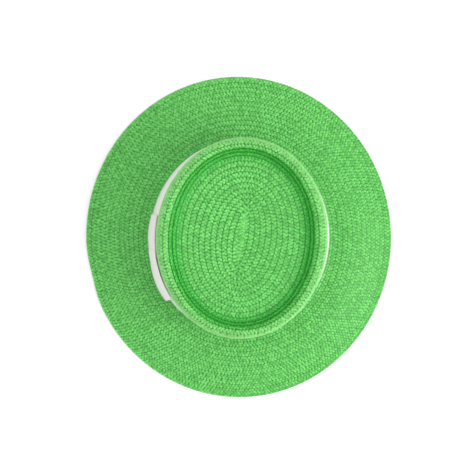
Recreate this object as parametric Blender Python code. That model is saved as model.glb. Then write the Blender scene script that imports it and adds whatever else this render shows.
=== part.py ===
"""Pork pie hat of sewn paper braid, with a ribbon band and a flat bow.

Metres, +Z up. +Y is the front and -X is the wearer's left, where the bow sits.
The hat rests on the edge of its brim, and the origin is the middle of the brim
on the surface that carries it.
"""

import math
from typing import NamedTuple

import bmesh
import bpy

# Sizes of the straw
CROWN_HALF_WIDTH = 0.0803
CROWN_HALF_LENGTH = 0.0942
HEAD_HALF_WIDTH = 0.0880
HEAD_HALF_LENGTH = 0.0954
CROWN_HEIGHT = 0.0840
RIDGE_SIDE_WIDTH = 0.0205
RIDGE_END_WIDTH = 0.0175
RECESS_DEPTH = 0.0110
TIP_DOME = 0.0010
STRAW_WALL = 0.0016

BRIM_HALF_WIDTH = 0.1527
BRIM_HALF_LENGTH = 0.1604
BRIM_LEAN = math.radians(6.2)
BRIM_DROP = 0.0135
BREAK_REACH = 0.0070
BREAK_RISE = 0.0055

DENT_DIRECTION = math.radians(197.5)
DENT_SPREAD = math.radians(13.0)
DENT_DEPTH = 0.0015

# Sizes of the ribbon
RIBBON_WALL = 0.0010
BAND_HEIGHT = 0.0380
BAND_LIFT = 0.0010
BOW_HEIGHT = 0.0350
BOW_DIRECTION = math.radians(196.0)
LOOP_LENGTH = 0.0430
LOOP_THICKNESS = 0.0014
TAIL_LENGTH = 0.0450
TAIL_SLANT = 0.0020
TAIL_STANDOFF = 0.0032
TAIL_TOP_LIFT = 0.15
WRAP_WIDTH = 0.0150
WRAP_HEIGHT = 0.0370

# Meshes that touch keep this much air between them
CLEARANCE = 0.0003

# Facets
SEGMENTS_AROUND = 56
LOOP_STEPS = 12
TAIL_STEPS = 8
WRAP_STEPS = 4
BAND_STEPS = 5

STRAW_COLOUR = (0.10, 0.54, 0.08, 1.0)
STRAW_ROUGHNESS = 0.75
RIBBON_COLOUR = (0.80, 0.82, 0.78, 1.0)
RIBBON_ROUGHNESS = 0.85

# Heights that follow from the sizes
HEAD_LINE = STRAW_WALL + BRIM_DROP + BREAK_RISE
CREST = HEAD_LINE + CROWN_HEIGHT
BAND_FOOT = HEAD_LINE + BAND_LIFT
BOW_FOOT = BAND_FOOT + (BAND_HEIGHT - BOW_HEIGHT) / 2
WRAP_FOOT = BAND_FOOT + (BAND_HEIGHT - WRAP_HEIGHT) / 2


class TopRow(NamedTuple):
    """A ring of the crown's top: inset in ridge widths, drop below the crest in recess depths."""
    place: str
    inset: float
    drop: float


class WallRow(NamedTuple):
    """A ring of the crown's wall: height in wall heights, flare from the crown's oval to the head's."""
    place: str
    height: float
    flare: float


class BrimRow(NamedTuple):
    """A ring of the brim past its break: reach in brim widths, fall in brim drops."""
    place: str
    reach: float
    fall: float


class LoopRow(NamedTuple):
    """A section of the bow's loop: place in loop lengths, fullness in loop thicknesses."""
    place: str
    along: float
    fullness: float


class TailRow(NamedTuple):
    """A section of the bow's tail: place in tail lengths, lift off the band in stand-offs."""
    place: str
    along: float
    lift: float


TOP_ROWS = (
    TopRow("tip edge", 1.06, 1.00),
    TopRow("recess foot", 0.95, 0.93),
    TopRow("recess wall", 0.78, 0.62),
    TopRow("recess brow", 0.62, 0.22),
    TopRow("ridge inner side", 0.49, 0.05),
    TopRow("ridge crest", 0.26, 0.00),
    TopRow("ridge outer side", 0.11, 0.12),
    TopRow("shoulder", 0.03, 0.42),
    TopRow("under the shoulder", 0.00, 0.75),
)

WALL_ROWS = (
    WallRow("under the shoulder", 1.00, 0.00),
    WallRow("upper wall", 0.70, 0.03),
    WallRow("band top", 0.48, 0.12),
    WallRow("band middle", 0.32, 0.32),
    WallRow("band lower part", 0.18, 0.60),
    WallRow("band foot", 0.07, 0.87),
    WallRow("head line", 0.00, 1.00),
)

BRIM_ROWS = (
    BrimRow("level by the crown", 0.00, 0.00),
    BrimRow("inner part", 0.16, 0.05),
    BrimRow("inner slope", 0.31, 0.15),
    BrimRow("start of the even slope", 0.46, 0.31),
    BrimRow("even slope", 0.70, 0.66),
    BrimRow("above the edge row", 0.94, 0.99),
    BrimRow("edge row", 1.00, 1.00),
)

LOOP_ROWS = (
    LoopRow("under the wrap", 0.00, 1.00),
    LoopRow("flat stretch", 0.75, 0.95),
    LoopRow("before the fold", 0.92, 0.82),
    LoopRow("fold", 1.00, 0.50),
)

TAIL_ROWS = (
    TailRow("under the wrap", 0.00, 0.10),
    TailRow("out of the wrap", 0.25, 0.55),
    TailRow("middle", 0.55, 0.90),
    TailRow("before the end", 0.80, 1.00),
    TailRow("end", 1.00, 0.92),
)

TIP_RINGS = (0.34, 0.70)
BREAK_TURNS = (0.30, 0.62)


def mix(start: float, end: float, share: float) -> float:
    """Return the value that lies a share of the way from start to end."""
    return start + (end - start) * share


def read_rows(rows: tuple, key: str, value: str, at: float) -> float:
    """Read one column of a table at a place between its rows."""
    ordered = sorted(rows, key=lambda row: getattr(row, key))
    for low, high in zip(ordered, ordered[1:]):
        if at <= getattr(high, key):
            share = (at - getattr(low, key)) / (getattr(high, key) - getattr(low, key))
            return mix(getattr(low, value), getattr(high, value), max(0.0, share))
    return getattr(ordered[-1], value)


def oval_radius(half_width: float, half_length: float, direction: float) -> float:
    """Return an oval's radius in a direction, with its length along +Y."""
    across = half_length * math.cos(direction)
    along = half_width * math.sin(direction)
    return half_width * half_length / math.hypot(across, along)


def crown_radius(direction: float) -> float:
    """Return the outside of the crown's wall just under its shoulder."""
    return oval_radius(CROWN_HALF_WIDTH, CROWN_HALF_LENGTH, direction)


def ridge_width(direction: float) -> float:
    """Return the width of the ridge and the slope inside it, which is more at the sides than at the ends."""
    return mix(RIDGE_SIDE_WIDTH, RIDGE_END_WIDTH, math.sin(direction) ** 2)


def head_radius(direction: float) -> float:
    """Return the outside of the straw at the head line."""
    return oval_radius(HEAD_HALF_WIDTH, HEAD_HALF_LENGTH, direction)


def edge_radius(direction: float) -> float:
    """Return the brim's edge: an oval that leans a little, with one shallow dent."""
    away = (direction - DENT_DIRECTION + math.pi) % (2 * math.pi) - math.pi
    dent = 0.0
    if abs(away) < DENT_SPREAD:
        dent = DENT_DEPTH * math.cos(away / DENT_SPREAD * math.pi / 2) ** 2
    return oval_radius(BRIM_HALF_WIDTH, BRIM_HALF_LENGTH, direction - BRIM_LEAN) - dent


def wall_top() -> float:
    """Return the height where the shoulder becomes the wall."""
    return CREST - TOP_ROWS[-1].drop * RECESS_DEPTH


def wall_radius(direction: float, height: float) -> float:
    """Return the outside of the crown's wall at a height above the surface."""
    share = (height - HEAD_LINE) / (wall_top() - HEAD_LINE)
    flare = read_rows(WALL_ROWS, "height", "flare", share)
    return mix(crown_radius(direction), head_radius(direction), flare)


def crown_profile(direction: float) -> list[tuple[float, float]]:
    """Return the outside of the crown in one direction, from the tip to the head line."""
    tip_height = CREST - RECESS_DEPTH
    width = ridge_width(direction)
    tip_radius = crown_radius(direction) - TOP_ROWS[0].inset * width
    points = []
    for share in TIP_RINGS:
        points.append((tip_radius * share, tip_height + TIP_DOME * (1 - share ** 2)))
    for row in TOP_ROWS:
        points.append((crown_radius(direction) - row.inset * width, CREST - row.drop * RECESS_DEPTH))
    for row in WALL_ROWS[1:]:
        height = mix(HEAD_LINE, wall_top(), row.height)
        points.append((wall_radius(direction, height), height))
    return points


def brim_profile(direction: float) -> list[tuple[float, float]]:
    """Return the top of the brim in one direction, from the head line to the edge."""
    inner = head_radius(direction)
    level = STRAW_WALL + BRIM_DROP
    points = [(inner, HEAD_LINE - CLEARANCE)]
    for turn in BREAK_TURNS:
        angle = turn * math.pi / 2
        points.append((inner + BREAK_REACH * (1 - math.cos(angle)), level + BREAK_RISE * (1 - math.sin(angle))))
    start = inner + BREAK_REACH
    for row in BRIM_ROWS:
        points.append((mix(start, edge_radius(direction), row.reach), level - BRIM_DROP * row.fall))
    return points


def inner_side(profile: list[tuple[float, float]], wall: float) -> list[tuple[float, float]]:
    """Offset a profile by the wall, to the side that faces the head."""
    shifted = []
    for index, (radius, height) in enumerate(profile):
        before = profile[max(index - 1, 0)]
        after = profile[min(index + 1, len(profile) - 1)]
        run = after[0] - before[0]
        rise = after[1] - before[1]
        length = math.hypot(run, rise)
        shifted.append((radius + rise / length * wall, height - run / length * wall))
    return shifted


def directions() -> list[float]:
    """Return the directions of the facets round the hat."""
    return [2 * math.pi * step / SEGMENTS_AROUND for step in range(SEGMENTS_AROUND)]


def place(direction: float, radius: float, height: float) -> tuple[float, float, float]:
    """Return a point from its direction, its radius and its height."""
    return (radius * math.cos(direction), radius * math.sin(direction), height)


def make_material(name: str, colour: tuple, roughness: float) -> bpy.types.Material:
    """Make one plain material for a piece."""
    material = bpy.data.materials.new(name)
    material.use_nodes = True
    shader = material.node_tree.nodes["Principled BSDF"]
    shader.inputs["Base Color"].default_value = colour
    shader.inputs["Roughness"].default_value = roughness
    shader.inputs["Metallic"].default_value = 0.0
    return material


def make_object(name: str, mesh: bmesh.types.BMesh, material: bpy.types.Material) -> bpy.types.Object:
    """Turn a built mesh into a named object that is shaded smooth."""
    bmesh.ops.recalc_face_normals(mesh, faces=mesh.faces)
    data = bpy.data.meshes.new(name)
    mesh.to_mesh(data)
    mesh.free()
    data.shade_smooth()
    data.set_sharp_from_angle(angle=math.radians(40))
    data.materials.append(material)
    piece = bpy.data.objects.new(name, data)
    bpy.context.scene.collection.objects.link(piece)
    return piece


def skin(mesh: bmesh.types.BMesh, first: list, second: list, closed: bool) -> None:
    """Join two rows of vertices with faces, all the way round if they are closed."""
    steps = len(first) if closed else len(first) - 1
    for step in range(steps):
        after = (step + 1) % len(first)
        mesh.faces.new((first[step], first[after], second[after], second[step]))


def ring_body(name: str, profiles: list[list[tuple[float, float]]], material: bpy.types.Material) -> bpy.types.Object:
    """Make a closed ring from one closed outline for each direction round the hat."""
    mesh = bmesh.new()
    columns = []
    for direction, outline in zip(directions(), profiles):
        columns.append([mesh.verts.new(place(direction, radius, height)) for radius, height in outline])
    for step, column in enumerate(columns):
        skin(mesh, column, columns[(step + 1) % len(columns)], closed=True)
    return make_object(name, mesh, material)


def make_crown(straw: bpy.types.Material) -> bpy.types.Object:
    """Make the crown: recessed tip, round ridge and wall, open at the head line."""
    mesh = bmesh.new()
    outside_pole = mesh.verts.new((0, 0, CREST - RECESS_DEPTH + TIP_DOME))
    inside_pole = mesh.verts.new((0, 0, CREST - RECESS_DEPTH + TIP_DOME - STRAW_WALL))
    columns = []
    for direction in directions():
        outside = crown_profile(direction)
        inside = inner_side(outside, STRAW_WALL)
        inside[-1] = (outside[-1][0] - STRAW_WALL, outside[-1][1])
        outline = outside + inside[::-1]
        columns.append([mesh.verts.new(place(direction, radius, height)) for radius, height in outline])
    for step, column in enumerate(columns):
        after = columns[(step + 1) % len(columns)]
        skin(mesh, column, after, closed=False)
        mesh.faces.new((outside_pole, column[0], after[0]))
        mesh.faces.new((inside_pole, after[-1], column[-1]))
    return make_object("crown", mesh, straw)


def make_brim(straw: bpy.types.Material) -> bpy.types.Object:
    """Make the brim: a turned-up break at the head line and a slope to its level edge row."""
    outlines = []
    for direction in directions():
        top = brim_profile(direction)
        under = inner_side(top, STRAW_WALL)
        under[0] = (top[0][0] - STRAW_WALL, top[0][1])
        under[-2] = (under[-2][0], 0.0)
        under[-1] = (top[-1][0], 0.0)
        outlines.append(top + under[::-1])
    return ring_body("brim", outlines, straw)


def make_band(ribbon: bpy.types.Material) -> bpy.types.Object:
    """Make the ribbon that runs round the foot of the crown."""
    heights = [BAND_FOOT + BAND_HEIGHT * step / BAND_STEPS for step in range(BAND_STEPS + 1)]
    outlines = []
    for direction in directions():
        inside = [(wall_radius(direction, height) + CLEARANCE, height) for height in heights]
        outside = [(radius + RIBBON_WALL, height) for radius, height in inside]
        outlines.append(inside + outside[::-1])
    return ring_body("band", outlines, ribbon)


def band_face(direction: float, height: float) -> float:
    """Return the radius where a piece that lies on the band starts."""
    return wall_radius(direction, height) + 2 * CLEARANCE + RIBBON_WALL


def turn_for(length: float) -> float:
    """Return the turn round the crown that a length along the band takes."""
    return length / oval_radius(HEAD_HALF_WIDTH, HEAD_HALF_LENGTH, BOW_DIRECTION)


def strip_body(name: str, sections: list[list[tuple]], material: bpy.types.Material) -> bpy.types.Object:
    """Make a closed strip from closed sections along its length, capped at both ends."""
    mesh = bmesh.new()
    columns = [[mesh.verts.new(point) for point in section] for section in sections]
    for column, after in zip(columns, columns[1:]):
        skin(mesh, column, after, closed=True)
    mesh.faces.new(columns[0])
    mesh.faces.new(columns[-1][::-1])
    return make_object(name, mesh, material)


def strip_section(direction: float, foot: float, height: float, lift: float, thickness: float) -> list[tuple]:
    """Return one section of a strip that stands a lift off the band."""
    levels = [foot + height * step / BAND_STEPS for step in range(BAND_STEPS + 1)]
    back = [place(direction, band_face(direction, level) + lift, level) for level in levels]
    front = [place(direction, band_face(direction, level) + lift + thickness, level) for level in levels]
    return back + front[::-1]


def make_bow_loop(ribbon: bpy.types.Material) -> bpy.types.Object:
    """Make the bow's front half, a ribbon folded flat with a round fold at its end."""
    sections = []
    for step in range(LOOP_STEPS + 1):
        along = step / LOOP_STEPS
        direction = BOW_DIRECTION - turn_for(CLEARANCE / 2) - turn_for(LOOP_LENGTH) * along
        thickness = LOOP_THICKNESS * read_rows(LOOP_ROWS, "along", "fullness", along)
        lift = (LOOP_THICKNESS - thickness) / 2
        sections.append(strip_section(direction, BOW_FOOT, BOW_HEIGHT, lift, thickness))
    return strip_body("bow_loop", sections, ribbon)


def tail_point(share: float, level: float, depth: float) -> tuple[float, float, float]:
    """Return a point of the tail: share of its length, level up its cut end, depth in the ribbon."""
    length = TAIL_LENGTH - TAIL_SLANT * (1 - level)
    along = length * share / TAIL_LENGTH
    direction = BOW_DIRECTION + turn_for(CLEARANCE / 2) + turn_for(TAIL_LENGTH) * along
    lift = TAIL_STANDOFF * read_rows(TAIL_ROWS, "along", "lift", along) * mix(1.0, TAIL_TOP_LIFT, level)
    height = BOW_FOOT + BOW_HEIGHT * level
    return place(direction, band_face(direction, height) + lift + depth, height)


def make_bow_tail(ribbon: bpy.types.Material) -> bpy.types.Object:
    """Make the bow's free end, which leaves the band and is cut at a slant."""
    levels = [step / BAND_STEPS for step in range(BAND_STEPS + 1)]
    sections = []
    for step in range(TAIL_STEPS + 1):
        share = step / TAIL_STEPS
        back = [tail_point(share, level, 0.0) for level in levels]
        front = [tail_point(share, level, RIBBON_WALL) for level in levels]
        sections.append(back + front[::-1])
    return strip_body("bow_tail", sections, ribbon)


def make_bow_wrap(ribbon: bpy.types.Material) -> bpy.types.Object:
    """Make the short ribbon that is wrapped over the middle of the bow."""
    over_loop = LOOP_THICKNESS + CLEARANCE
    tail_lift = TAIL_STANDOFF * read_rows(TAIL_ROWS, "along", "lift", WRAP_WIDTH / 2 / TAIL_LENGTH)
    over_tail = tail_lift + RIBBON_WALL + CLEARANCE
    sections = []
    for step in range(WRAP_STEPS + 1):
        share = step / WRAP_STEPS
        direction = BOW_DIRECTION + turn_for(WRAP_WIDTH) * (share - 0.5)
        lift = mix(over_loop, max(over_loop, over_tail), share)
        sections.append(strip_section(direction, WRAP_FOOT, WRAP_HEIGHT, lift, RIBBON_WALL))
    return strip_body("bow_wrap", sections, ribbon)


def clear_scene() -> None:
    """Remove what the scene holds before the hat is made."""
    for piece in list(bpy.data.objects):
        bpy.data.objects.remove(piece, do_unlink=True)


def main() -> None:
    """Make every piece of the hat."""
    clear_scene()
    straw = make_material("straw_braid", STRAW_COLOUR, STRAW_ROUGHNESS)
    ribbon = make_material("ribbon", RIBBON_COLOUR, RIBBON_ROUGHNESS)
    make_crown(straw)
    make_brim(straw)
    make_band(ribbon)
    make_bow_loop(ribbon)
    make_bow_tail(ribbon)
    make_bow_wrap(ribbon)


main()
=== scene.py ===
"""Looks of a pork pie hat of sewn paper braid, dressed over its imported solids.

The straw is one long braid, lapped row on row from the middle of the tip to the edge of the
brim. Its surface is worked out once as a grid of rows and turns, and every strand of the plait
is laid on that grid by Geometry Nodes. The ribbon band and its flat bow are ribbed cloth.
"""

from __future__ import annotations

import logging
import math
from dataclasses import dataclass
from enum import Enum
from typing import NamedTuple

import bpy
import numpy as np
from mathutils import Matrix, Vector

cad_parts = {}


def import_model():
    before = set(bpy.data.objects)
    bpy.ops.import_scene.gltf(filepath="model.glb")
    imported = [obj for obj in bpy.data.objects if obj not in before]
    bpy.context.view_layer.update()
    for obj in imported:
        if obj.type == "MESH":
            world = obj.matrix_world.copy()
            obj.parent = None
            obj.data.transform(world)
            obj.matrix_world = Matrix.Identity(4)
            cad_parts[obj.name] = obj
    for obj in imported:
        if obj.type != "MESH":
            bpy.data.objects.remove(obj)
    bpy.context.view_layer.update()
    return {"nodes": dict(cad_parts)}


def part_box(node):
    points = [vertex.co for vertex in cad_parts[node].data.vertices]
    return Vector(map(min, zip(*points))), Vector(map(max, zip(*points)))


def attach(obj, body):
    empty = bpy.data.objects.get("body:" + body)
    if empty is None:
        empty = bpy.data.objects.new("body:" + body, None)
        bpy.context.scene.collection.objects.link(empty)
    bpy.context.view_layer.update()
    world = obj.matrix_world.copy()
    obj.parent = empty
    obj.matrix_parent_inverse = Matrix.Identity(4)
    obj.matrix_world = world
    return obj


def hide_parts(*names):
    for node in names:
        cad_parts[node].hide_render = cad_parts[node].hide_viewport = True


LOG = logging.getLogger("pork_pie_hat")
MM = 0.001
FULL_TURN = 2 * math.pi


class Face(Enum):
    """The side of the straw that a layer of strands lies on."""

    OUTSIDE = 1
    INSIDE = -1


class Slot(Enum):
    """Names of the material slots."""

    STRAW = "straw_braid"
    RIBBON = "ribbon"


class TopRow(NamedTuple):
    """A ring of the crown's top: inset in ridge widths, drop below the crest in recess depths."""

    place: str
    inset: float
    drop: float


class WallRow(NamedTuple):
    """A ring of the crown's wall: height in wall heights, flare from the crown's oval to the head's."""

    place: str
    height: float
    flare: float


class BrimRow(NamedTuple):
    """A ring of the brim past its break: reach in brim widths, fall in brim drops."""

    place: str
    reach: float
    fall: float


class TailRow(NamedTuple):
    """A place along the bow's free end: reach in tail lengths, lift off the band in standoffs."""

    place: str
    reach: float
    lift: float


TOP_ROWS = (
    TopRow("tip edge", 1.06, 1.00),
    TopRow("recess foot", 0.95, 0.93),
    TopRow("recess wall", 0.78, 0.62),
    TopRow("recess brow", 0.62, 0.22),
    TopRow("ridge inner side", 0.49, 0.05),
    TopRow("ridge crest", 0.26, 0.00),
    TopRow("ridge outer side", 0.11, 0.12),
    TopRow("shoulder", 0.03, 0.42),
    TopRow("under the shoulder", 0.00, 0.75),
)

WALL_ROWS = (
    WallRow("upper wall", 0.70, 0.03),
    WallRow("band top", 0.48, 0.12),
    WallRow("band middle", 0.32, 0.32),
    WallRow("band lower part", 0.18, 0.60),
    WallRow("band foot", 0.07, 0.87),
    WallRow("head line", 0.00, 1.00),
)

BRIM_ROWS = (
    BrimRow("level by the crown", 0.00, 0.00),
    BrimRow("inner part", 0.16, 0.05),
    BrimRow("inner slope", 0.31, 0.15),
    BrimRow("start of the even slope", 0.46, 0.31),
    BrimRow("even slope", 0.70, 0.66),
    BrimRow("above the edge row", 0.94, 0.99),
    BrimRow("edge row", 1.00, 1.00),
)

BREAK_TURNS = (0.30, 0.62)

TAIL_ROWS = (
    TailRow("under the wrap", 0.00, 0.10),
    TailRow("past the wrap", 0.25, 0.55),
    TailRow("middle", 0.55, 0.90),
    TailRow("before the end", 0.80, 1.00),
    TailRow("end", 1.00, 0.92),
)


def smooth_curve(knots: np.ndarray, values: np.ndarray, at: np.ndarray) -> np.ndarray:
    """Read a smooth curve through knots that lie at uneven distances.

    Args:
        knots: Rising places of the known values, shape (n,).
        values: Known values, shape (n, ...).
        at: Places to read, shape (m,).

    Returns:
        The values there, shape (m, ...).
    """
    steps = np.diff(knots)
    slopes = np.diff(values, axis=0) / steps.reshape(-1, *[1] * (values.ndim - 1))
    tangents = np.empty_like(values)
    tangents[0], tangents[-1] = slopes[0], slopes[-1]
    before = steps[:-1].reshape(-1, *[1] * (values.ndim - 1))
    after = steps[1:].reshape(-1, *[1] * (values.ndim - 1))
    tangents[1:-1] = (slopes[:-1] * after + slopes[1:] * before) / (before + after)
    index = np.clip(np.searchsorted(knots, at, side="right") - 1, 0, len(knots) - 2)
    step = steps[index].reshape(-1, *[1] * (values.ndim - 1))
    share = ((at - knots[index]) / steps[index]).reshape(-1, *[1] * (values.ndim - 1))
    square, cube = share**2, share**3
    return (
        (2 * cube - 3 * square + 1) * values[index]
        + (cube - 2 * square + share) * step * tangents[index]
        + (3 * square - 2 * cube) * values[index + 1]
        + (cube - square) * step * tangents[index + 1]
    )


def unit(vectors: np.ndarray) -> np.ndarray:
    """Return the vectors at length one."""
    return vectors / np.maximum(np.linalg.norm(vectors, axis=-1, keepdims=True), 1e-12)


def oval_radius(half_width: float, half_length: float, direction: np.ndarray) -> np.ndarray:
    """Return an oval's radius in each direction, with its length along +Y."""
    across = half_length * np.cos(direction)
    along = half_width * np.sin(direction)
    return half_width * half_length / np.hypot(across, along)


@dataclass
class Wire:
    """A socket whose sums and products add their Math nodes to its tree."""

    bench: "Bench"
    socket: bpy.types.NodeSocket

    def _join(self, operation: str, first: "Wire | float", second: "Wire | float") -> "Wire":
        """Add one Math node."""
        made = self.bench.node("ShaderNodeMath", {"operation": operation}, {0: first, 1: second})
        return self.bench.wire(made, "Value")

    def __add__(self, other: "Wire | float") -> "Wire":
        """Return the sum."""
        return self._join("ADD", self, other)

    __radd__ = __add__

    def __sub__(self, other: "Wire | float") -> "Wire":
        """Return the difference."""
        return self._join("SUBTRACT", self, other)

    def __rsub__(self, other: "Wire | float") -> "Wire":
        """Return the difference from a number."""
        return self._join("SUBTRACT", other, self)

    def __mul__(self, other: "Wire | float") -> "Wire":
        """Return the product."""
        return self._join("MULTIPLY", self, other)

    __rmul__ = __mul__

    def sine(self) -> "Wire":
        """Return the sine."""
        return self._join("SINE", self, 0.0)


class Bench:
    """A node tree and the one way in which nodes are added to it."""

    def __init__(self, tree: bpy.types.NodeTree) -> None:
        """Start on an empty tree.

        Args:
            tree: The tree to fill.
        """
        self.tree = tree
        tree.nodes.clear()

    def node(self, kind: str, settings: dict | None = None, sockets: dict | None = None) -> bpy.types.Node:
        """Add a node.

        Args:
            kind: Blender's name for the type of node.
            settings: Values set on the node itself, before its sockets. A ramp takes "stops".
            sockets: Values or wires by socket name or number.

        Returns:
            The new node.
        """
        made = self.tree.nodes.new(kind)
        for name, value in (settings or {}).items():
            if name == "stops":
                self._set_stops(made, value)
            else:
                setattr(made, name, value)
        for name, value in (sockets or {}).items():
            self.feed(made, name, value)
        return made

    def wire(self, node: bpy.types.Node, name: str) -> Wire:
        """Return one of a node's outputs.

        Args:
            node: The node.
            name: The name of the output, which is switched on.

        Returns:
            The output as a wire.
        """
        return Wire(self, next(out for out in node.outputs if out.name == name and out.enabled))

    def _set_stops(self, ramp: bpy.types.Node, stops: list[tuple[float, tuple]]) -> None:
        """Give a ramp its colours."""
        elements = ramp.color_ramp.elements
        while len(elements) < len(stops):
            elements.new(1.0)
        for element, (position, colour) in zip(elements, stops):
            element.position = position
            element.color = (*colour, 1.0)

    def feed(self, node: bpy.types.Node, name: str | int, value: object) -> None:
        """Link a wire, or several, to a socket, or set its value.

        Args:
            node: The node.
            name: Name or number of the socket.
            value: A wire, a list of wires or a plain value.
        """
        if isinstance(name, int):
            socket = node.inputs[name]
        else:
            socket = next(entry for entry in node.inputs if entry.name == name and entry.enabled)
        if isinstance(value, list):
            for wire in value:
                self.tree.links.new(wire.socket, socket)
        elif isinstance(value, Wire):
            self.tree.links.new(value.socket, socket)
        elif isinstance(value, tuple) and len(value) == 3 and socket.type == "RGBA":
            socket.default_value = (*value, 1.0)
        else:
            socket.default_value = value


class HatForm:
    """The smooth outside of the straw as a grid of braid rows and turns round the hat.

    A place on it is a row number, from 0 at the middle of the tip to the last row at the brim's
    edge, and a turn from 0 to 1, from the wearer's right round by the front.
    """

    TIP_ROWS = 10.8
    TOP_BAND_ROWS = 5.7
    WALL_BAND_ROWS = 15.0
    BRIM_BAND_ROWS = 14.0
    SAMPLES_PER_ROW = 10
    SAMPLES_AROUND = 360

    def __init__(self, nodes: dict[str, bpy.types.Object]) -> None:
        """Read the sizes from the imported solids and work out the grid.

        Args:
            nodes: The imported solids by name.
        """
        self.ridge_side_width = 20.5 * MM
        self.ridge_end_width = 17.5 * MM
        self.recess_depth = 11.0 * MM
        self.tip_dome = 1.0 * MM
        self.seam_half_length = 21.0 * MM
        self.seam_lean = math.radians(-5.0)
        self.wall = 1.6 * MM
        self.break_reach = 7.0 * MM
        self.break_rise = 5.5 * MM
        self.brim_lean = math.radians(6.2)
        self.dent_direction = math.radians(197.5)
        self.dent_spread = math.radians(13.0)
        self.dent_depth = 1.5 * MM
        self.brim_half_width = 152.7 * MM
        self.brim_half_length = 160.4 * MM
        self.brim_drop = 13.5 * MM
        crown_low, crown_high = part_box("crown")
        self.head_half_width = (crown_high.x - crown_low.x) / 2
        self.head_line = crown_low.z
        self.crest = crown_high.z
        self.crown_half_width = reach_above(nodes["crown"], 0, self.wall_top - MM / 2)
        self.crown_half_length = reach_above(nodes["crown"], 1, self.wall_top - MM / 2)
        self.head_half_length = (crown_high.y - crown_low.y) / 2
        self.rows = self.TIP_ROWS + self.TOP_BAND_ROWS + self.WALL_BAND_ROWS + self.BRIM_BAND_ROWS
        self.join_row = self.rows - self.BRIM_BAND_ROWS
        self.points = self._grid()
        self.normals = self._grid_normals()

    @property
    def wall_top(self) -> float:
        """The height where the shoulder becomes the wall."""
        return self.crest - TOP_ROWS[-1].drop * self.recess_depth

    def crown_radius(self, direction: np.ndarray) -> np.ndarray:
        """Return the outside of the wall just under the shoulder."""
        return oval_radius(self.crown_half_width, self.crown_half_length, direction)

    def ridge_width(self, direction: np.ndarray) -> np.ndarray:
        """Return the width of the ridge and the slope inside it."""
        end = np.sin(direction) ** 2
        return self.ridge_side_width * (1 - end) + self.ridge_end_width * end

    def head_radius(self, direction: np.ndarray) -> np.ndarray:
        """Return the outside of the straw at the head line."""
        return oval_radius(self.head_half_width, self.head_half_length, direction)

    def edge_radius(self, direction: np.ndarray) -> np.ndarray:
        """Return the brim's edge: an oval that leans a little, with the shallow dent of the braid's end."""
        away = (direction - self.dent_direction + math.pi) % FULL_TURN - math.pi
        inside = np.abs(away) < self.dent_spread
        dent = self.dent_depth * np.cos(away / self.dent_spread * math.pi / 2) ** 2 * inside
        return oval_radius(self.brim_half_width, self.brim_half_length, direction - self.brim_lean) - dent

    def wall_radius(self, direction: np.ndarray, height: np.ndarray) -> np.ndarray:
        """Return the outside of the crown's wall at heights above the surface."""
        knots = np.array([row.height for row in WALL_ROWS[::-1]] + [1.0])
        flares = np.array([row.flare for row in WALL_ROWS[::-1]] + [0.0])
        share = (height - self.head_line) / (self.wall_top - self.head_line)
        flare = smooth_curve(knots, flares, share.ravel()).reshape(share.shape)
        return self.crown_radius(direction) * (1 - flare) + self.head_radius(direction) * flare

    def _profile_knots(self, direction: np.ndarray) -> tuple[np.ndarray, np.ndarray, tuple[int, int]]:
        """Return the profile's knots past the tip.

        Args:
            direction: Directions round the hat, shape (m,).

        Returns:
            Radii and heights, each of shape (n, m), and the knots at the shoulder and the head line.
        """
        crown, head = self.crown_radius(direction), self.head_radius(direction)
        edge = self.edge_radius(direction)
        level = self.wall + self.brim_drop
        radii = [crown - row.inset * self.ridge_width(direction) for row in TOP_ROWS]
        heights = [self.crest - row.drop * self.recess_depth for row in TOP_ROWS]
        for row in WALL_ROWS:
            radii.append(crown + (head - crown) * row.flare)
            heights.append(self.head_line + (self.wall_top - self.head_line) * row.height)
        marks = (len(TOP_ROWS) - 1, len(radii) - 1)
        for turn in BREAK_TURNS:
            radii.append(head + self.break_reach * (1 - math.cos(turn * math.pi / 2)))
            heights.append(level + self.break_rise * (1 - math.sin(turn * math.pi / 2)))
        for row in BRIM_ROWS:
            radii.append(head + self.break_reach + (edge - head - self.break_reach) * row.reach)
            heights.append(level - (level - self.wall) * row.fall)
        return np.array(radii), np.outer(heights, np.ones_like(direction)), marks

    def _grid(self) -> np.ndarray:
        """Return the grid of points, shape (rows, turns, 3)."""
        angle = np.linspace(0, FULL_TURN, self.SAMPLES_AROUND, endpoint=False)
        direction = np.arctan2(self.crown_half_length * np.sin(angle), self.crown_half_width * np.cos(angle))
        radii, heights, marks = self._profile_knots(direction)
        steps = np.hypot(np.diff(radii, axis=0), np.diff(heights, axis=0)).mean(axis=1)
        knots = np.concatenate([[0.0], np.cumsum(steps)])
        sections = (
            (0.0, knots[marks[0]], self.TOP_BAND_ROWS),
            (knots[marks[0]], knots[marks[1]], self.WALL_BAND_ROWS),
            (knots[marks[1]], knots[-1], self.BRIM_BAND_ROWS),
        )
        counts = [round(rows * self.SAMPLES_PER_ROW) for _, _, rows in sections]
        along = [np.linspace(a, b, count, endpoint=False) for (a, b, _), count in zip(sections, counts)]
        along = np.concatenate([*along, [knots[-1]]])
        profile = smooth_curve(knots, np.stack([radii, heights], axis=2), along)
        radius, height = profile[..., 0], profile[..., 1]
        outer = np.stack([radius * np.cos(direction), radius * np.sin(direction), height], 2)
        tip = self._tip_grid(angle, outer[0])
        return np.concatenate([tip, outer])

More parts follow.
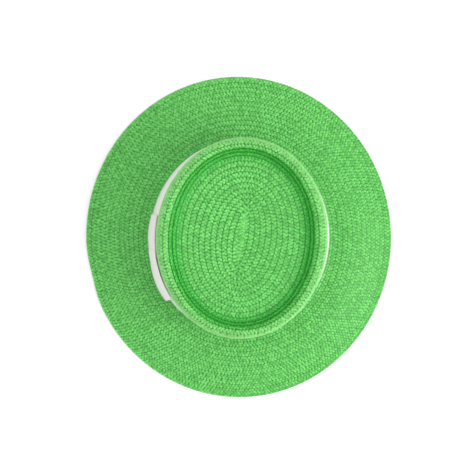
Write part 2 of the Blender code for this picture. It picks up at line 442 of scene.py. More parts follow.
    def _tip_grid(self, angle: np.ndarray, foot: np.ndarray) -> np.ndarray:
        """Return the tip's part of the grid: ovals that grow from a short seam to the recess's foot."""
        samples = self.TIP_ROWS * self.SAMPLES_PER_ROW
        share = np.arange(round(samples)) / samples
        share = share.reshape(-1, 1)
        lean = self.seam_lean * (1 - share) ** 0.5
        across = share * foot[:, 0].max() * np.cos(angle)
        along = (self.seam_half_length * (1 - share) + foot[:, 1].max() * share) * np.sin(angle)
        east = across * np.cos(lean) - along * np.sin(lean)
        north = across * np.sin(lean) + along * np.cos(lean)
        east += share**2 * (foot[:, 0] - foot[:, 0].max() * np.cos(angle))
        north += share**2 * (foot[:, 1] - foot[:, 1].max() * np.sin(angle))
        out = np.hypot(east, north) / np.hypot(foot[:, 0], foot[:, 1])
        height = foot[0, 2] + self.tip_dome * (1 - out**2)
        return np.stack([east, north, height], axis=2)

    def _grid_normals(self) -> np.ndarray:
        """Return the outward normals of the grid."""
        along = np.roll(self.points, -1, axis=1) - np.roll(self.points, 1, axis=1)
        across = np.gradient(self.points, axis=0)
        normals = unit(np.cross(across, along))
        normals[0] = (0, 0, 1)
        return normals

    def _read(self, grid: np.ndarray, row: np.ndarray, turn: np.ndarray) -> np.ndarray:
        """Read a grid between its samples."""
        place = np.clip(row * self.SAMPLES_PER_ROW, 0, len(grid) - 1.001)
        low = place.astype(int)
        share = (place - low)[:, None]
        around = (turn % 1.0) * self.SAMPLES_AROUND
        left = around.astype(int) % self.SAMPLES_AROUND
        right = (left + 1) % self.SAMPLES_AROUND
        part = (around - np.floor(around))[:, None]
        upper = grid[low, left] * (1 - part) + grid[low, right] * part
        lower = grid[low + 1, left] * (1 - part) + grid[low + 1, right] * part
        return upper * (1 - share) + lower * share

    def painted_light_stops(self) -> tuple[list[float], list[float]]:
        """Return rows and the light painted on the straw there, from -1 for painted shade on the recess's
        slope to 1 for a painted highlight on the shoulder.
        """
        foot = self.TIP_ROWS
        shoulder = foot + self.TOP_BAND_ROWS
        rows = [foot - 0.8, foot + 0.3, foot + 2.3, foot + 3.1]
        rows += [shoulder - 1.2, shoulder + 0.4, shoulder + 2.5]
        return rows, [0.0, -1.0, -1.0, 0.3, 0.6, 1.0, 0.0]

    def turn_of(self, direction: float) -> float:
        """Return the turn that lies in a direction from the middle."""
        along = self.crown_half_width * math.sin(direction)
        across = self.crown_half_length * math.cos(direction)
        return math.atan2(along, across) / FULL_TURN

    def point(self, row: np.ndarray, turn: np.ndarray) -> np.ndarray:
        """Return points of the straw's outside, shape (n, 3)."""
        return self._read(self.points, row, turn)

    def normal(self, row: np.ndarray, turn: np.ndarray) -> np.ndarray:
        """Return outward normals of the straw's outside, shape (n, 3)."""
        return unit(self._read(self.normals, row, turn))


def reach_above(node: bpy.types.Object, axis: int, height: float) -> float:
    """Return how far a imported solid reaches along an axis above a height."""
    corners = np.array([vertex.co for vertex in node.data.vertices])
    return float(corners[corners[:, 2] > height][:, axis].max())


class Strands(NamedTuple):
    """Places where strands of the plait are laid."""

    points: np.ndarray
    along: np.ndarray
    up: np.ndarray
    length: np.ndarray
    width: np.ndarray
    rows: np.ndarray
    # painted light of each strand: below 0 painted shade, above 0 painted highlight
    bloom: np.ndarray


@dataclass(frozen=True)
class BraidLay:
    """How the braid is wound over the hat and how its strands cross."""

    form: HatForm
    strand_pitch: float = 3.25 * MM
    slant: float = math.radians(40)
    reach_share: float = 0.42
    column_offset: float = 0.21
    first_row: float = 0.25
    slant_spread: float = math.radians(7)
    place_spread: float = 0.22 * MM
    lift_spread: float = 0.10 * MM
    width_share: float = 1.08
    lap_rise: float = 1.0 * MM
    face_lift: float = -0.65 * MM
    inside_depth: float = 1.05 * MM
    lowest_row: float = 0.02
    turn_step: float = 0.0005
    samples_per_turn: int = 720

    def _spiral(self) -> tuple[np.ndarray, np.ndarray, np.ndarray]:
        """Return row, turn and sunken depth at an even pitch along the braid."""
        end = self.form.rows + 0.5
        wound = np.arange(-0.5, end, 1 / self.samples_per_turn)
        row = np.clip(wound, self.first_row, self.form.rows - 0.5)
        start = self.form.turn_of(self.form.dent_direction) - end
        turn = wound + start
        points = self.form.point(row, turn)
        length = np.concatenate([[0.0], np.cumsum(np.linalg.norm(np.diff(points, axis=0), axis=1))])
        marks = np.arange(self.strand_pitch / 2, length[-1], self.strand_pitch)
        wound = np.interp(marks, length, wound)
        row = np.clip(wound, self.first_row, self.form.rows - 0.5)
        return row, wound + start, np.maximum(wound - row, 0.0)

    def strands(self, face: Face) -> Strands:
        """Lay two slanting strands for each pitch of the braid.

        Args:
            face: The side of the straw.

        Returns:
            The strands' places.
        """
        row, turn, sunken = self._spiral()
        if face is Face.INSIDE:
            row, turn, sunken = row[sunken == 0], turn[sunken == 0], sunken[sunken == 0]
        layers = []
        for side in (-self.column_offset, self.column_offset):
            half = self.strand_pitch / 2 * (side > 0)
            layers.append(self._column(row, turn, sunken, side, half, face))
        return Strands(*(np.concatenate(parts) for parts in zip(*layers)))

    def _column(
        self, row: np.ndarray, turn: np.ndarray, sunken: np.ndarray, side: float, shift: float, face: Face
    ) -> Strands:
        """Lay one column of strands beside the middle of the braid.

        Args:
            row: Row of each place.
            turn: Turn of each place.
            sunken: How far each place has slid under the row before it.
            side: Share of a row that the column lies off the middle.
            shift: Distance along the braid that this column lies ahead.
            face: The side of the straw.

        Returns:
            The column's strands.
        """
        form = self.form
        at = np.clip(row + side, self.lowest_row, form.rows)
        ahead = form.point(at, turn + self.turn_step)
        here = form.point(at, turn)
        tangent = unit(ahead - form.point(at, turn - self.turn_step))
        outward = form.normal(at, turn)
        across = np.cross(tangent, outward)
        low, high = np.clip(at - 0.25, 0, form.rows), np.clip(at + 0.25, 0, form.rows)
        pitch = np.linalg.norm(form.point(high, turn) - form.point(low, turn), axis=1) / (high - low)
        tilt = self.lap_rise / pitch
        up = unit(outward - across * tilt[:, None])
        lift = self.face_lift + self.lap_rise * (side + 0.5) - self.lap_rise * sunken
        if face is Face.INSIDE:
            up = -unit(outward - across * tilt[:, None] / 2)
            lift = self.lap_rise * side / 2 - self.inside_depth * np.ones_like(sunken)
        chance = np.random.default_rng(round(100 * (side + face.value)) + 500).normal(size=(3, len(at), 1))
        slant = math.copysign(self.slant, side) + self.slant_spread * chance[0]
        along = tangent * np.cos(slant) + across * np.sin(slant)
        length = pitch * self.reach_share / math.sin(self.slant)
        width = np.full_like(length, self.strand_pitch * math.sin(self.slant) * self.width_share)
        raised = lift[:, None] + self.lift_spread * chance[1]
        points = here + outward * raised + tangent * (shift + self.place_spread * chance[2])
        # Painted light by row: painted shade on the recess's slope, painted highlight on the ridge and
        # shoulder.
        bloom = np.interp(at, *form.painted_light_stops())
        return Strands(points, along, up, length, width, row, bloom)


def new_mesh(name: str, points: np.ndarray, faces: list, lengths: np.ndarray | None = None) -> bpy.types.Mesh:
    """Make a smooth mesh, with a map in metres if one is given.

    Args:
        name: Name of the mesh.
        points: Corners, shape (n, 3).
        faces: Corner numbers of each face.
        lengths: Place of each corner on the flat cloth, in metres, shape (n, 2).

    Returns:
        The mesh.
    """
    mesh = bpy.data.meshes.new(name)
    mesh.from_pydata(points.tolist(), [], faces)
    mesh.shade_smooth()
    if lengths is not None:
        corners = np.empty(len(mesh.loops), dtype=np.int64)
        mesh.loops.foreach_get("vertex_index", corners)
        mesh.uv_layers.new(name="UVMap").data.foreach_set("uv", lengths[corners].ravel())
    return mesh


def new_object(name: str, mesh: bpy.types.Mesh) -> bpy.types.Object:
    """Put a mesh in the scene as an object."""
    piece = bpy.data.objects.new(name, mesh)
    bpy.context.scene.collection.objects.link(piece)
    return piece


def grid_faces(rows: int, columns: int, closed: bool, first: int = 0, flipped: bool = False) -> list[tuple]:
    """Return the faces of a grid of corners.

    Args:
        rows: Number of rows.
        columns: Number of corners in a row.
        closed: Whether each row closes on itself.
        first: Number of the grid's first corner.
        flipped: Whether the faces look the other way.

    Returns:
        Four corner numbers for each face.
    """
    faces = []
    for row in range(rows - 1):
        for column in range(columns if closed else columns - 1):
            after = (column + 1) % columns
            low, high = first + row * columns, first + (row + 1) * columns
            face = (low + column, high + column, high + after, low + after)
            faces.append(face[::-1] if flipped else face)
    return faces


class StrandLoom:
    """A Geometry Nodes tree that lays one curved strand of paper on each given place."""

    INPUTS = (
        ("Strand rise", "NodeSocketFloat"),
        ("Strand dip", "NodeSocketFloat"),
        ("Strand taper", "NodeSocketFloat"),
        ("Corners along", "NodeSocketInt"),
        ("Corners across", "NodeSocketInt"),
        ("Tone seed", "NodeSocketInt"),
    )

    def __init__(self, material: bpy.types.Material) -> None:
        """Build the tree.

        Args:
            material: The straw's material.
        """
        self.tree = bpy.data.node_groups.new("laid strands", "GeometryNodeTree")
        self.bench = Bench(self.tree)
        self.identifiers = {}
        self.tree.interface.new_socket("Geometry", in_out="INPUT", socket_type="NodeSocketGeometry")
        for name, kind in self.INPUTS:
            socket = self.tree.interface.new_socket(name, in_out="INPUT", socket_type=kind)
            self.identifiers[name] = socket.identifier
        self.tree.interface.new_socket("Geometry", in_out="OUTPUT", socket_type="NodeSocketGeometry")
        self.source = self.bench.node("NodeGroupInput")
        self._lay(material)

    def _given(self, name: str) -> Wire:
        """Return one of the tree's inputs."""
        return self.bench.wire(self.source, name)

    def _attribute(self, name: str, kind: str) -> Wire:
        """Return a named attribute of the places."""
        made = self.bench.node("GeometryNodeInputNamedAttribute", {"data_type": kind}, {"Name": name})
        return self.bench.wire(made, "Attribute")

    def _strand(self) -> Wire:
        """Return the one strand: a unit grid, bowed up across and dipping at both ends."""
        bench = self.bench
        sizes = {"Size X": 1.0, "Size Y": 1.0}
        counts = {"Vertices X": self._given("Corners along"), "Vertices Y": self._given("Corners across")}
        grid = bench.node("GeometryNodeMeshGrid", {}, {**sizes, **counts})
        place = bench.wire(bench.node("GeometryNodeInputPosition"), "Position")
        parts = bench.node("ShaderNodeSeparateXYZ", {}, {"Vector": place})
        along, across = bench.wire(parts, "X"), bench.wire(parts, "Y")
        end = (along * 2.0) * (along * 2.0)
        side = (across * 2.0) * (across * 2.0)
        height = self._given("Strand rise") * (1.0 - side) - self._given("Strand dip") * end
        narrowed = across * (1.0 - self._given("Strand taper") * end)
        moved = bench.node("ShaderNodeCombineXYZ", {}, {"X": along, "Y": narrowed, "Z": height})
        mapped = bench.node(
            "GeometryNodeStoreNamedAttribute",
            {"data_type": "FLOAT2", "domain": "CORNER"},
            {"Geometry": bench.wire(grid, "Mesh"), "Name": "UVMap", "Value": bench.wire(grid, "UV Map")},
        )
        shaped = bench.node(
            "GeometryNodeSetPosition",
            {},
            {"Geometry": bench.wire(mapped, "Geometry"), "Position": bench.wire(moved, "Vector")},
        )
        smooth = bench.node("GeometryNodeSetShadeSmooth", {}, {0: bench.wire(shaped, "Geometry")})
        return Wire(bench, smooth.outputs[0])

    def _lay(self, material: bpy.types.Material) -> None:
        """Lay the strands, join them with the core under them and give all one material."""
        bench = self.bench
        parts = bench.node(
            "GeometryNodeSeparateGeometry",
            {"domain": "POINT"},
            {"Geometry": self._given("Geometry"), "Selection": self._attribute("strand", "FLOAT")},
        )
        turned = bench.node(
            "FunctionNodeAxesToRotation",
            {"primary_axis": "Z", "secondary_axis": "X"},
            {
                "Primary Axis": self._attribute("up", "FLOAT_VECTOR"),
                "Secondary Axis": self._attribute("along", "FLOAT_VECTOR"),
            },
        )
        laid = bench.node(
            "GeometryNodeInstanceOnPoints",
            {},
            {
                "Points": bench.wire(parts, "Selection"),
                "Instance": self._strand(),
                "Rotation": bench.wire(turned, "Rotation"),
                "Scale": self._attribute("size", "FLOAT_VECTOR"),
            },
        )
        chance = bench.node(
            "FunctionNodeRandomValue",
            {"data_type": "FLOAT"},
            {"Min": 0.3, "Max": 1.0, "Seed": self._given("Tone seed")},
        )
        toned = bench.node(
            "GeometryNodeStoreNamedAttribute",
            {"data_type": "FLOAT", "domain": "INSTANCE"},
            {"Geometry": bench.wire(laid, "Instances"), "Name": "tone", "Value": bench.wire(chance, "Value")},
        )
        # The core has no tone, so it reads 0 and takes the ramp's darkest colour: painted shade in the gaps
        # between strands.
        joined = bench.node(
            "GeometryNodeJoinGeometry",
            {},
            {"Geometry": [bench.wire(toned, "Geometry"), bench.wire(parts, "Inverted")]},
        )
        real = bench.node("GeometryNodeRealizeInstances", {}, {"Geometry": bench.wire(joined, "Geometry")})
        finished = bench.node(
            "GeometryNodeSetMaterial", {}, {"Geometry": bench.wire(real, "Geometry"), "Material": material}
        )
        bench.node("NodeGroupOutput", {}, {"Geometry": bench.wire(finished, "Geometry")})

    def weave(self, places: bpy.types.Object, settings: dict[str, float | int]) -> None:
        """Turn an object's places into strands and leave a plain mesh.

        Args:
            places: Object with the core's faces and the strands' places.
            settings: Values of the tree's inputs by name.
        """
        modifier = places.modifiers.new("laid strands", "NODES")
        modifier.node_group = self.tree
        for name, value in settings.items():
            modifier[self.identifiers[name]] = value
        bpy.context.view_layer.update()
        evaluated = places.evaluated_get(bpy.context.evaluated_depsgraph_get())
        mesh = bpy.data.meshes.new_from_object(evaluated)
        mesh.name = places.name
        places.modifiers.remove(modifier)
        rough = places.data
        places.data = mesh
        bpy.data.meshes.remove(rough)


class StrawWork:
    """The straw's pieces: a smooth core with the plait's strands laid over it."""

    OUTER_DEPTH = 0.90 * MM
    INNER_DEPTH = 1.05 * MM
    TURNS_ROUND = 120
    BAND_MARGIN = 1.5 * MM

    def __init__(self, form: HatForm, loom: StrandLoom) -> None:
        """Lay the strands on both sides.

        Args:
            form: The straw's outside.
            loom: The tree that makes the strands.
        """
        self.form = form
        self.loom = loom
        lay = BraidLay(form)
        self.outside = lay.strands(Face.OUTSIDE)
        self.inside = lay.strands(Face.INSIDE)

    def _core(self, first_row: float, last_row: float) -> tuple[np.ndarray, list[tuple]]:
        """Return the corners and faces of a closed core between two rows."""
        steps = round((last_row - first_row) * 2) + 1
        rows = np.repeat(np.linspace(first_row, last_row, steps), self.TURNS_ROUND)
        turns = np.tile(np.arange(self.TURNS_ROUND) / self.TURNS_ROUND, steps)
        surface, outward = self.form.point(rows, turns), self.form.normal(rows, turns)
        outer, inner = surface - outward * self.OUTER_DEPTH, surface - outward * self.INNER_DEPTH
        count = len(outer)
        faces = grid_faces(steps, self.TURNS_ROUND, closed=True)
        faces += grid_faces(steps, self.TURNS_ROUND, closed=True, first=count, flipped=True)
        for ring, flipped in ((0, True), (steps - 1, False)):
            if ring == 0 and first_row == 0:
                continue
            for column in range(self.TURNS_ROUND):
                here = ring * self.TURNS_ROUND + column
                after = ring * self.TURNS_ROUND + (column + 1) % self.TURNS_ROUND
                face = (here, here + count, after + count, after)
                faces.append(face[::-1] if flipped else face)
        return np.concatenate([outer, inner]), faces

    def _make(
        self, name: str, strands: Strands, core: tuple[np.ndarray, list[tuple]], shape: dict
    ) -> bpy.types.Object:
        """Make one piece from a core and its strands."""
        corners, faces = core
        mesh = new_mesh(name, np.concatenate([corners, strands.points]), faces)
        blank = np.zeros((len(corners), 3))
        size = np.stack([strands.length, strands.width, np.ones_like(strands.width)], axis=1)
        for key, values in (("along", strands.along), ("up", strands.up), ("size", size)):
            data = np.concatenate([blank, values]).astype(np.float32)
            mesh.attributes.new(key, "FLOAT_VECTOR", "POINT").data.foreach_set("vector", data.ravel())
        for key, values in (("strand", np.ones(len(strands.points))), ("bloom", strands.bloom)):
            data = np.concatenate([np.zeros(len(corners)), values]).astype(np.float32)
            mesh.attributes.new(key, "FLOAT", "POINT").data.foreach_set("value", data)
        piece = new_object(name, mesh)
        self.loom.weave(piece, shape)
        LOG.info("%s: %d strands, %d faces", name, len(strands.points), len(piece.data.polygons))
        return piece

    def _part(self, strands: Strands, keep: np.ndarray) -> Strands:
        """Return some of the strands."""
        return Strands(*(values[keep] for values in strands))

    def _finish(self, piece: bpy.types.Object, node: str) -> None:
        """Tie a piece to the part."""
        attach(piece, "root")
        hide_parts(node)

    def build(self, band_foot: float, band_top: float) -> None:
        """Make the four pieces of straw.

        Args:
            band_foot: Height of the band's lower edge.
            band_top: Height of the band's upper edge.
        """
        form = self.form
        both = {"Strand taper": 0.6, "Corners across": 3}
        outer_shape = {**both, "Strand rise": 0.45 * MM, "Strand dip": 0.42 * MM}
        outer_shape |= {"Corners along": 5, "Tone seed": 3}
        inner_shape = {**both, "Strand rise": 0.40 * MM, "Strand dip": 0.25 * MM}
        inner_shape |= {"Corners along": 3, "Tone seed": 8}
        height = self.outside.points[:, 2]
        on_crown = self.outside.rows < form.join_row
        on_wall = on_crown & (self.outside.rows > form.TIP_ROWS + form.TOP_BAND_ROWS)
        covered = on_wall & (height > band_foot + self.BAND_MARGIN) & (height < band_top - self.BAND_MARGIN)
        none = (np.zeros((0, 3)), [])
        crown = self._make(
            "crown_braid",
            self._part(self.outside, on_crown & ~covered),
            self._core(0, form.join_row),
            outer_shape,
        )
        brim = self._make(
            "brim_braid",
            self._part(self.outside, ~on_crown),
            self._core(form.join_row, form.rows - 0.1),
            outer_shape,
        )
        in_crown = self.inside.rows < form.join_row
        lining = self._make("crown_braid_inside", self._part(self.inside, in_crown), none, inner_shape)
        under = self._make("brim_braid_underside", self._part(self.inside, ~in_crown), none, inner_shape)
        for piece, node in ((crown, "crown"), (lining, "crown"), (brim, "brim"), (under, "brim")):
            self._finish(piece, node)


@dataclass(frozen=True)
class RibbonWork:
    """The ribbon's pieces: the band and the flat bow, in cloth with ribs across its length."""

    form: HatForm
    material: bpy.types.Material
    thickness: float = 0.5 * MM
    rib_pitch: float = 1.1 * MM
    rib_relief: float = 0.12 * MM
    samples_per_rib: int = 4
    clearance: float = 0.3 * MM
    ribbon_wall: float = 1.0 * MM
    band_lift: float = -0.9 * MM
    bow_direction: float = math.radians(196)
    loop_length: float = 43.0 * MM
    loop_thickness: float = 1.4 * MM
    loop_gap: float = 0.2 * MM
    loop_puff: float = 0.5 * MM
    loop_end_rest: float = 0.6
    loop_lean: float = 0.3
    tail_length: float = 45.0 * MM
    tail_slant: float = 2.0 * MM
    tail_standoff: float = 3.2 * MM
    tail_top_lift: float = 0.03
    wrap_width: float = 15.0 * MM
    wrap_bow: float = 0.3 * MM
    wrap_tuck: float = 0.9 * MM
    steps: int = 160
    levels: int = 7

    def _face(self, direction: np.ndarray, height: np.ndarray, lift: np.ndarray) -> np.ndarray:
        """Return points that stand a lift off the band's outside."""
        radius = self.form.wall_radius(direction, height) + 2 * self.clearance + self.ribbon_wall + lift
        return np.stack([radius * np.cos(direction), radius * np.sin(direction), height], axis=-1)

    def _turn(self, length: np.ndarray) -> np.ndarray:
        """Return the turn round the crown that a length along the bow takes."""
        return length / self.form.head_radius(np.array(self.bow_direction))

    def _ribs(self, length: np.ndarray) -> np.ndarray:
        """Return the ribs' relief at lengths along the ribbon."""
        return self.rib_relief * (0.5 + 0.5 * np.sin(length / self.rib_pitch * FULL_TURN))

    def _shell(
        self, name: str, outer: np.ndarray, inner: np.ndarray, lengths: np.ndarray, closed: bool
    ) -> bpy.types.Object:
        """Make a closed shell from its outside and its inside.

        Args:
            name: Name of the piece.
            outer: Outside corners, shape (n, m, 3).
            inner: Inside corners, shape (n, m, 3).
            lengths: Places on the flat ribbon, shape (n, m, 2).
            closed: Whether the ribbon closes on itself.

        Returns:
            The piece.
        """
        count, width = outer.shape[:2]
        size = count * width
        order = np.arange(size).reshape(count, width)
        faces = []
        for step in range(count if closed else count - 1):
            here, after = order[step], order[(step + 1) % count]
            for level in range(width - 1):
                faces.append((here[level], after[level], after[level + 1], here[level + 1]))
                back = (here[level], here[level + 1], after[level + 1], after[level])
                faces.append(tuple(size + at for at in back))
            faces.append((here[0], here[0] + size, after[0] + size, after[0]))
            faces.append((here[-1], after[-1], after[-1] + size, here[-1] + size))
        if not closed:
            for level in range(width - 1):
                start, end = order[0], order[-1]
                faces.append((start[level], start[level + 1], start[level + 1] + size, start[level] + size))
                faces.append((end[level], end[level] + size, end[level + 1] + size, end[level + 1]))
        corners = np.concatenate([outer.reshape(-1, 3), inner.reshape(-1, 3)])
        flat = np.concatenate([lengths.reshape(-1, 2)] * 2)
        mesh = new_mesh(name, corners, [tuple(int(at) for at in face) for face in faces], flat)
        mesh.materials.append(self.material)
        return new_object(name, mesh)

    def _finish(
        self, piece: bpy.types.Object, node: str, flat: tuple[float, float], held: str, under: list
    ) -> None:
        """Tie a piece to the part and hide the part's imported solid."""
        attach(piece, "root")
        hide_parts(node)

    def band(self) -> None:
        """Make the band."""
        low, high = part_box("band")
        half_width, half_length = self.form.head_half_width, self.form.head_half_length
        girth = FULL_TURN * (half_width + half_length) / 2
        ribs = round(girth / self.rib_pitch)
        angle = np.arange(ribs * self.samples_per_rib) / (ribs * self.samples_per_rib) * FULL_TURN
        direction = np.arctan2(half_length * np.sin(angle), half_width * np.cos(angle))
        heights = np.linspace(low.z, high.z, self.levels)
        around, height = np.meshgrid(direction, heights, indexing="ij")
        wave = np.sin(np.arange(len(angle)) / self.samples_per_rib * FULL_TURN)
        relief = self.rib_relief * (0.5 + 0.5 * wave)
        face = self.band_lift * np.ones_like(height)
        outer = self._face(around, height, face + relief[:, None])
        inner = self._face(around, height, face - self.thickness)
        length = np.arange(len(angle)) / len(angle) * girth
        lengths = np.stack(np.meshgrid(length, heights - low.z, indexing="ij"), axis=2)
        piece = self._shell("hat_band", outer, inner, lengths, closed=True)
        self._finish(piece, "band", (high.z - low.z, girth), "stretched", ["crown_braid"])

    def _swept(
        self, name: str, along: np.ndarray, lift: np.ndarray, low: float, high: float
    ) -> bpy.types.Object:
        """Make a ribbon from a path round the band, swept over its width.

        Args:
            name: Name of the piece.
            along: Lengths along the band from the bow's middle at each step, shape (n, m).
            lift: Lift off the band at each step, shape (n, m).
            low: Height of the lower edge.
            high: Height of the upper edge.

        Returns:
            The piece.
        """
        height = np.tile(np.linspace(low, high, along.shape[1]), (len(along), 1))
        run = np.hypot(np.gradient(along, axis=0), np.gradient(lift, axis=0))
        aside, out = np.gradient(lift, axis=0) / run, -np.gradient(along, axis=0) / run
        length = np.cumsum(run, axis=0)
        outer_depth = self.thickness / 2 + self._ribs(length)
        layers = []
        for depth in (outer_depth, -self.thickness / 2):
            place = self.bow_direction + self._turn(along + aside * depth)
            layers.append(self._face(place, height, lift + out * depth))
        lengths = np.stack([length, height - low], axis=2)
        return self._shell(name, *layers, lengths, closed=False)

    def bow_loop(self) -> None:
        """Make the bow's front half: a ribbon laid out, folded round and brought back."""
        low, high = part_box("bow_loop")
        near, far = 0.0, self.thickness + self.loop_gap
        radius = (far - near) / 2
        straight = np.linspace(0, self.loop_length - radius - self.thickness, self.steps)
        bend = np.linspace(0, math.pi, 10)[1:-1]
        along = np.concatenate([straight, straight[-1] + radius * np.sin(bend), straight[::-1]])
        turned = near + radius + radius * np.cos(bend)
        lift = np.concatenate([far + 0 * straight, turned, near + 0 * straight])
        level = np.linspace(0, 1, self.levels)
        out = np.clip(along / self.loop_length, 0, 1)
        puff = self.loop_puff * np.sin(out * math.pi) ** 2 * (lift > near + radius)
        lift = lift * (1 - self.loop_end_rest * out**4)
        lift = np.outer(lift, 1 - self.loop_lean * level) + np.outer(puff, 1 - level)
        piece = self._swept("bow_loop_ribbon", np.outer(-along, np.ones(self.levels)), lift, low.z, high.z)
        self._finish(piece, "bow_loop", (high.z - low.z, 2 * self.loop_length), "folded", ["hat_band"])

    def bow_tail(self) -> None:
        """Make the bow's free end, whose lower edge stands off the band."""
        low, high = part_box("bow_tail")
        share = np.linspace(0, 1, self.steps)
        level = np.linspace(0, 1, self.levels)
        length = self.tail_length - self.tail_slant * (1 - level)
        along = np.outer(share, length)
        knots = np.array([row.reach for row in TAIL_ROWS])
        lifts = np.array([row.lift for row in TAIL_ROWS]) * self.tail_standoff
        lift = smooth_curve(knots, lifts, (along / self.tail_length).ravel()).reshape(along.shape)
        lift = lift * (1 - (1 - self.tail_top_lift) * level)
        piece = self._swept("bow_tail_ribbon", along, lift + self.ribbon_wall / 2, low.z, high.z)
        self._finish(piece, "bow_tail", (high.z - low.z, self.tail_length), "folded", ["hat_band"])

    def bow_wrap(self) -> None:
        """Make the short ribbon that is wrapped over the middle of the bow."""
        low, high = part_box("bow_wrap")
        along = np.outer(np.linspace(-0.5, 0.5, 60) * self.wrap_width, np.ones(13))
        level = np.linspace(-1, 1, 13)
        edge = np.linspace(-1, 1, 60) ** 8
        lift = self.loop_thickness + self.wrap_bow * (1 - edge[:, None]) - self.wrap_tuck * level**8
        piece = self._swept("bow_wrap_ribbon", along, lift, low.z, high.z)
        self._finish(piece, "bow_wrap", (self.wrap_width, high.z - low.z), "folded", ["bow_loop_ribbon"])


class Finishes:
    """The materials of the straw, the ribbon and the floor."""

    def _shader(self, name: str, constants: dict) -> tuple[bpy.types.Material, Bench, bpy.types.Node]:
        """Start a material.

        Args:
            name: Name of the material.
            constants: Values of the shader's sockets.

        Returns:
            The material, its bench and its shader.
        """
        material = bpy.data.materials.new(name)
        material.use_nodes = True
        bench = Bench(material.node_tree)
        shader = bench.node("ShaderNodeBsdfPrincipled", {}, constants)
        bench.node("ShaderNodeOutputMaterial", {}, {"Surface": bench.wire(shader, "BSDF")})
        return material, bench, shader

    def _map(self, bench: Bench) -> tuple[Wire, Wire]:
        """Return both coordinates of a piece's own map."""
        chart = bench.node("ShaderNodeUVMap", {"uv_map": "UVMap"})
        parts = bench.node("ShaderNodeSeparateXYZ", {}, {"Vector": bench.wire(chart, "UV")})
        return bench.wire(parts, "X"), bench.wire(parts, "Y")

    def straw(self) -> bpy.types.Material:
        """Make the green paper straw: each strand has a tone of its own and fine creases along it. Its colour
        also holds painted shade, in the gaps on the core and on the recess's slope, and a painted highlight
        on the ridge and shoulder.
        """
        constants = {
            "Roughness": 0.42,
            "Specular IOR Level": 0.6,
            "Sheen Weight": 0.12,
            "Sheen Roughness": 0.4,
        }
        material, bench, shader = self._shader("straw braid", constants)
        tone = bench.wire(bench.node("ShaderNodeAttribute", {"attribute_name": "tone"}), "Fac")
        stops = [
            # Tone 0 is only the core: its dark saturated green is painted shade in the gaps. The strands'
            # random tones run from 0.3 to 1.
            (0.0, (0.003, 0.270, 0.012)),
            (0.28, (0.074, 0.415, 0.055)),
            (1.0, (0.150, 0.640, 0.118)),
        ]
        ramp = bench.node("ShaderNodeValToRGB", {"stops": stops}, {"Fac": tone})
        bloom = bench.wire(bench.node("ShaderNodeAttribute", {"attribute_name": "bloom"}), "Fac")
        # Painted shade: strands on the recess's slope are multiplied to a deeper green, as if in shade.
        painted_shade = bench.node(
            "ShaderNodeMix",
            {"data_type": "RGBA", "blend_type": "MULTIPLY"},
            {"Factor": bloom * -1.0, "A": bench.wire(ramp, "Color"), "B": (0.40, 0.88, 0.48)},
        )
        # Painted highlight: strands on the ridge and shoulder are mixed towards pale green, where light
        # grazes them.
        painted_highlight = bench.node(
            "ShaderNodeMix",
            {"data_type": "RGBA"},
            {"Factor": bloom * 0.36, "A": bench.wire(painted_shade, "Result"), "B": (0.36, 0.66, 0.25)},
        )
        bench.feed(shader, "Base Color", bench.wire(painted_highlight, "Result"))
        _, across = self._map(bench)
        creases = (across * (FULL_TURN * 3)).sine()
        bump = bench.node("ShaderNodeBump", {}, {"Strength": 0.5, "Distance": 0.1 * MM, "Height": creases})
        bench.feed(shader, "Normal", bench.wire(bump, "Normal"))
        return material

    def ribbon(self) -> bpy.types.Material:
        """Make the white ribbed cloth."""
        constants = {
            "Base Color": (0.70, 0.68, 0.665),
            "Roughness": 0.85,
            "Sheen Weight": 0.2,
            "Sheen Roughness": 0.4,
        }
        material, bench, shader = self._shader("ribbon", constants)
        along, across = self._map(bench)
        threads = (along * (FULL_TURN / (0.5 * MM))).sine() * (across * (FULL_TURN / (0.7 * MM))).sine()
        bump = bench.node("ShaderNodeBump", {}, {"Strength": 0.2, "Distance": 0.05 * MM, "Height": threads})
        bench.feed(shader, "Normal", bench.wire(bump, "Normal"))
        return material

    def floor(self) -> bpy.types.Material:
        """Make the plain white ground."""
        return self._shader("white ground", {"Base Color": (0.92, 0.92, 0.92), "Roughness": 0.9})[0]


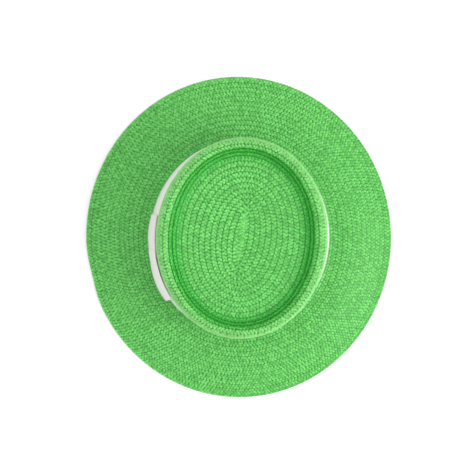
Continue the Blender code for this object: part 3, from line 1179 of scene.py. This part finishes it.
@dataclass(frozen=True)
class Studio:
    """The white ground, the soft light and the camera over the hat."""

    camera_distance: float = 1.6
    camera_lean: float = math.radians(1.68)
    camera_nod: float = math.radians(0.44)
    camera_roll: float = math.radians(3.28)
    camera_slide: float = -2.1 * MM
    camera_climb: float = 0.17 * MM
    lens: float = 121.5
    floor_size: float = 8.0
    fill: float = 1.17
    key_power: float = 17.5
    key_distance: float = 1.8
    key_size: float = 1.1
    key_direction: float = math.radians(-15)
    key_elevation: float = math.radians(40)

    def build(self, ground: bpy.types.Material) -> None:
        """Set up the studio.

        Args:
            ground: Material of the floor.
        """
        self._floor(ground)
        self._light()
        self._camera()
        bpy.context.scene.view_settings.view_transform = "Standard"

    def _floor(self, ground: bpy.types.Material) -> None:
        """Lay the ground."""
        half = self.floor_size / 2
        corners = np.array([(-half, -half, 0), (half, -half, 0), (half, half, 0), (-half, half, 0)])
        mesh = new_mesh("ground", corners, [(0, 1, 2, 3)])
        mesh.materials.append(ground)
        floor = new_object("ground", mesh)
        floor.location.z = -0.3 * MM

    def _light(self) -> None:
        """Set the even fill and the large soft key from the hat's right."""
        world = bpy.data.worlds.new("studio")
        world.use_nodes = True
        bench = Bench(world.node_tree)
        back = bench.node("ShaderNodeBackground", {}, {"Color": (1.0, 1.0, 1.0), "Strength": self.fill})
        bench.node("ShaderNodeOutputWorld", {}, {"Surface": bench.wire(back, "Background")})
        bpy.context.scene.world = world
        lamp = bpy.data.lights.new("key", "AREA")
        lamp.shape = "DISK"
        lamp.size = self.key_size
        lamp.energy = self.key_power
        key = bpy.data.objects.new("key", lamp)
        level, height = math.cos(self.key_elevation), math.sin(self.key_elevation)
        east, north = math.cos(self.key_direction), math.sin(self.key_direction)
        key.location = self.key_distance * Vector((level * east, level * north, height))
        key.rotation_euler = key.location.to_track_quat("Z", "Y").to_euler()
        bpy.context.scene.collection.objects.link(key)

    def _camera(self) -> None:
        """Hang the camera almost straight over the hat."""
        data = bpy.data.cameras.new("camera")
        data.lens = self.lens
        camera = bpy.data.objects.new("camera", data)
        back = Vector((-math.sin(self.camera_lean), math.sin(self.camera_nod), 1.0)).normalized()
        upward = Vector((-math.sin(self.camera_roll), math.cos(self.camera_roll), 0.0))
        right = upward.cross(back).normalized()
        upward = back.cross(right)
        place = back * self.camera_distance + right * self.camera_slide + upward * self.camera_climb
        turned = Matrix((right, upward, back)).transposed().to_4x4()
        camera.matrix_world = Matrix.Translation(place) @ turned
        bpy.context.scene.collection.objects.link(camera)
        bpy.context.scene.camera = camera


def main() -> None:
    """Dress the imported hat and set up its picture."""
    logging.basicConfig(level=logging.INFO, format="%(name)s: %(message)s")
    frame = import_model()
    form = HatForm(frame["nodes"])
    finishes = Finishes()
    loom = StrandLoom(finishes.straw())
    straw = StrawWork(form, loom)
    ribbon = RibbonWork(form, finishes.ribbon())
    low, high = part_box("band")
    straw.build(low.z, high.z)
    ribbon.band()
    ribbon.bow_loop()
    ribbon.bow_tail()
    ribbon.bow_wrap()
    Studio().build(finishes.floor())


if __name__ == "__main__":
    main()
